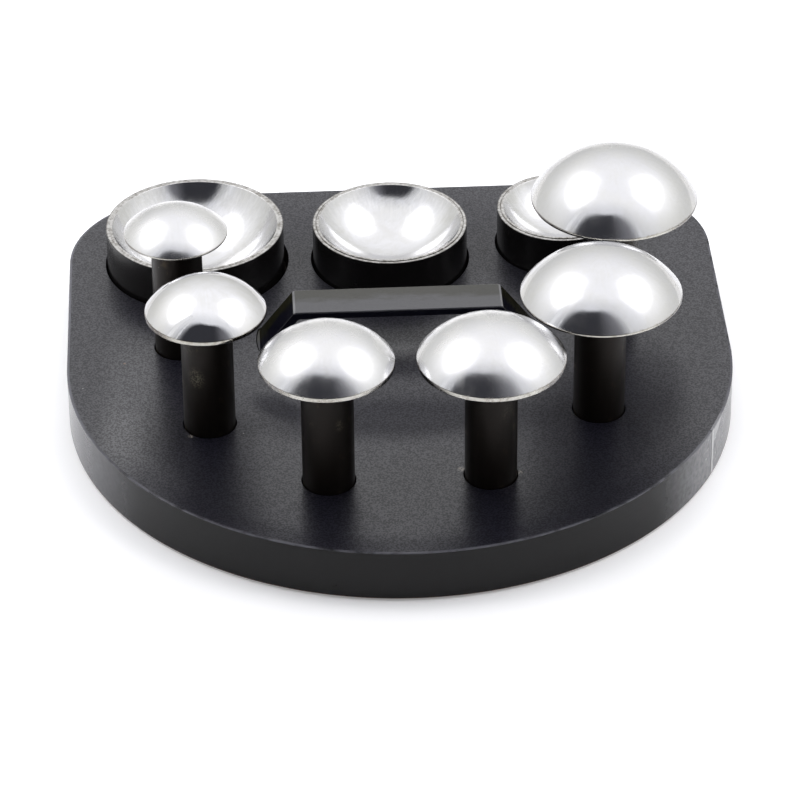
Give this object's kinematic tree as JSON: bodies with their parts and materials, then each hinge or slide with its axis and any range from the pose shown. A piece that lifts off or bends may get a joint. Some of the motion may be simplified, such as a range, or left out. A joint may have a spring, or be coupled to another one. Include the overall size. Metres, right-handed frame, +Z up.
{
  "type": "doming stake set",
  "caption": "Jeweller's doming set: polished mushroom stakes and cupped steel dies standing in a black half-round board with a low carrying handle.",
  "frame": {"origin": "on the table, under the middle of the board's outline", "axes": "+X to the user's right, from the smallest stake to the largest; +Y from the round side at the user to the straight side with the dies; +Z up, the way the stakes and dies lift out"},
  "size_m": [0.264, 0.2604, 0.095],
  "materials": {
    "black_board": "fine matt black facing on wood-fibre board",
    "black_edging": "satin black edge tape",
    "moulded_handle": "semi-gloss moulded black",
    "blacked_steel": "blackened, oiled",
    "polished_steel": "hand-polished bright steel",
    "die_steel": "blackened drum with a polished bowl",
    "zinc_screw": "bright zinc",
    "rubber_pad": "matt black"
  },
  "bodies": {
    "stand": {"stand_board": "black_board", "edge_band": "black_edging", "carry_handle": "moulded_handle", "handle_screw_left": "zinc_screw", "handle_screw_right": "zinc_screw", "base_pad_1": "rubber_pad", "base_pad_2": "rubber_pad", "base_pad_3": "rubber_pad", "base_pad_4": "rubber_pad"},
    "stake_1": {"stake_1_shank": "blacked_steel", "stake_1_head": "polished_steel"},
    "stake_2": {"stake_2_shank": "blacked_steel", "stake_2_head": "polished_steel"},
    "stake_3": {"stake_3_shank": "blacked_steel", "stake_3_head": "polished_steel"},
    "stake_4": {"stake_4_shank": "blacked_steel", "stake_4_head": "polished_steel"},
    "stake_5": {"stake_5_shank": "blacked_steel", "stake_5_head": "polished_steel"},
    "stake_6": {"stake_6_shank": "blacked_steel", "stake_6_head": "polished_steel"},
    "die_1_body": {"die_1": "die_steel"},
    "die_2_body": {"die_2": "die_steel"},
    "die_3_body": {"die_3": "die_steel"}
  },
  "joints": [
    {"name": "stake_1_lift", "type": "slide", "parent": "stand", "child": "stake_1", "axis": [0, 0, 1], "range_m": [0, 0.095]},
    {"name": "stake_2_lift", "type": "slide", "parent": "stand", "child": "stake_2", "axis": [0, 0, 1], "range_m": [0, 0.095]},
    {"name": "stake_3_lift", "type": "slide", "parent": "stand", "child": "stake_3", "axis": [0, 0, 1], "range_m": [0, 0.095]},
    {"name": "stake_4_lift", "type": "slide", "parent": "stand", "child": "stake_4", "axis": [0, 0, 1], "range_m": [0, 0.095]},
    {"name": "stake_5_lift", "type": "slide", "parent": "stand", "child": "stake_5", "axis": [0, 0, 1], "range_m": [0, 0.095]},
    {"name": "stake_6_lift", "type": "slide", "parent": "stand", "child": "stake_6", "axis": [0, 0, 1], "range_m": [0, 0.095]},
    {"name": "die_1_lift", "type": "slide", "parent": "stand", "child": "die_1_body", "axis": [0, 0, 1], "range_m": [0, 0.095]},
    {"name": "die_2_lift", "type": "slide", "parent": "stand", "child": "die_2_body", "axis": [0, 0, 1], "range_m": [0, 0.095]},
    {"name": "die_3_lift", "type": "slide", "parent": "stand", "child": "die_3_body", "axis": [0, 0, 1], "range_m": [0, 0.03]}
  ]
}
